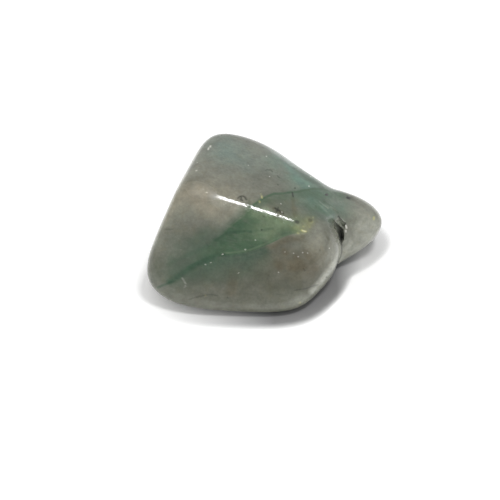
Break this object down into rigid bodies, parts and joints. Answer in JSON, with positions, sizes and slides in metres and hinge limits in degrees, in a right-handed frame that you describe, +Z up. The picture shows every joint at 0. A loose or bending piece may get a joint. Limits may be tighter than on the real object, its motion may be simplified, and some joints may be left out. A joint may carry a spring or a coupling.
{
  "type": "ajoite quartz tumbled stone",
  "caption": "Tumbled and polished cloudy quartz with green ajoite veils, a rounded wedge with a low tail, resting on a flat worn patch.",
  "frame": {"origin": "middle of the stone's box, at the surface it rests on", "axes": "+X along the length towards the tail, +Y towards the back, +Z up from the flat resting patch"},
  "size_m": [0.03, 0.023, 0.0144],
  "materials": {
    "quartz": "polished, cloudy and translucent, with green and teal veils inside"
  },
  "bodies": {
    "root": {"stone": "quartz"}
  },
  "joints": []
}
